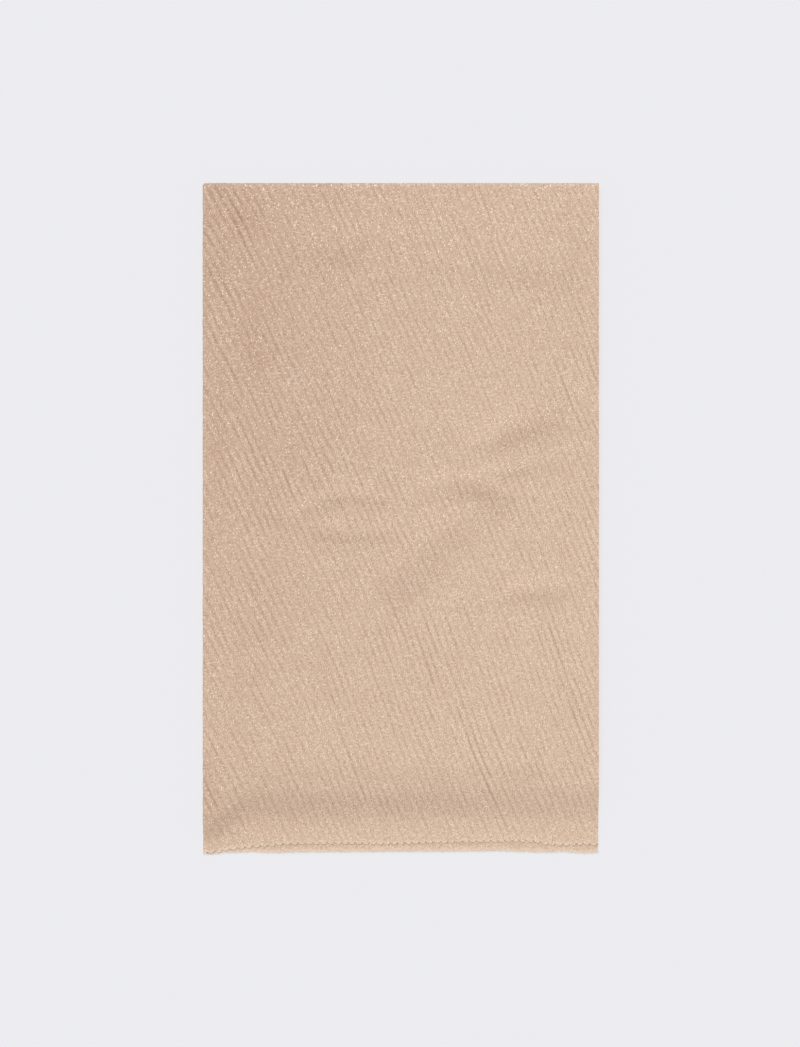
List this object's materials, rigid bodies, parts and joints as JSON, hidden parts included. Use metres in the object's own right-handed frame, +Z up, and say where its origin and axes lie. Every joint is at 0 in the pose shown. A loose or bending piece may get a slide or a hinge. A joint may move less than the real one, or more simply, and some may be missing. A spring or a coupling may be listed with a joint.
{
  "type": "folded lurex scarf",
  "caption": "Crinkled lurex scarf with scalloped ends, folded flat into a long rectangle, for dressing a shelf, table or shop display.",
  "frame": {"origin": "middle of the base, on the surface that the scarf lies on", "axes": "+X to the right across the folded scarf, away from its width fold; +Y along it, away from the scalloped hems; +Z up"},
  "size_m": [0.373, 0.6331, 0.0133],
  "materials": {
    "cloth": "beige crinkled lurex with fine metallic glints",
    "edging": "pale scalloped thread edging"
  },
  "bodies": {
    "root": {"upper_ply": "cloth", "lower_ply": "cloth", "hidden_plies": "cloth"}
  },
  "joints": []
}
